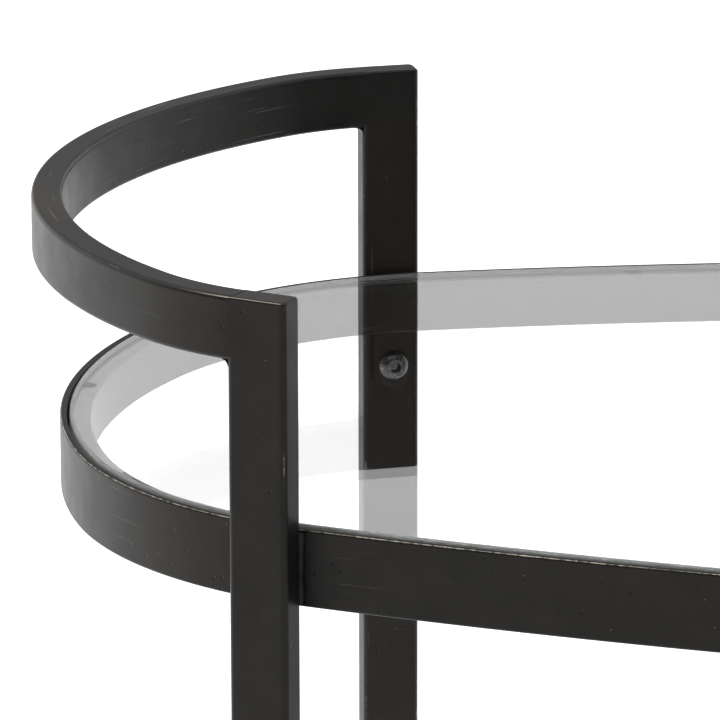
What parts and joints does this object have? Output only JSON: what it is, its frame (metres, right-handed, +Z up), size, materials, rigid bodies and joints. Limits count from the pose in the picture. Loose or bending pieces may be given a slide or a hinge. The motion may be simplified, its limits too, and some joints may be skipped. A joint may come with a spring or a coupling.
{
  "type": "nesting tables",
  "caption": "Pair of oval nesting side tables: glass tops in black steel rims, legs that rise into a raised rail round each end, small one sliding under the large.",
  "frame": {"origin": "on the floor under the middle of the large table", "axes": "+Z up, +X along the tables, the way the small table slides out, +Y across"},
  "size_m": [1.147, 0.5222, 0.5433],
  "materials": {
    "black_steel": "satin black coating over steel, worn to bare metal on the arrises",
    "clear_glass": "clear float glass with a ground edge",
    "black_silicone": "soft black discs",
    "black_plastic": "moulded black",
    "black_screw_steel": "black oxide, slightly glossy",
    "plated_steel": "zinc plated"
  },
  "bodies": {
    "large_table": {"large_back_left_leg": "black_steel", "large_back_left_tab": "black_steel", "large_back_right_leg": "black_steel", "large_back_right_tab": "black_steel", "large_foot_glides": "black_plastic", "large_front_left_leg": "black_steel", "large_front_left_tab": "black_steel", "large_front_right_leg": "black_steel", "large_front_right_tab": "black_steel", "large_glass_pads": "black_silicone", "large_glass_top": "clear_glass", "large_left_rail": "black_steel", "large_left_support_bar": "black_steel", "large_leg_caps": "black_steel", "large_right_rail": "black_steel", "large_right_support_bar": "black_steel", "large_rim_band": "black_steel", "large_screws": "black_screw_steel", "large_threaded_inserts": "plated_steel"},
    "small_table": {"small_back_left_leg": "black_steel", "small_back_left_tab": "black_steel", "small_back_right_leg": "black_steel", "small_back_right_tab": "black_steel", "small_foot_glides": "black_plastic", "small_front_left_leg": "black_steel", "small_front_left_tab": "black_steel", "small_front_right_leg": "black_steel", "small_front_right_tab": "black_steel", "small_glass_pads": "black_silicone", "small_glass_top": "clear_glass", "small_left_rail": "black_steel", "small_left_support_bar": "black_steel", "small_leg_caps": "black_steel", "small_right_rail": "black_steel", "small_right_support_bar": "black_steel", "small_rim_band": "black_steel", "small_screws": "black_screw_steel", "small_threaded_inserts": "plated_steel"}
  },
  "joints": [
    {"name": "small_table_slide", "type": "slide", "parent": "large_table", "child": "small_table", "axis": [1, 0, 0], "range_m": [-0.135, 0.85]}
  ]
}
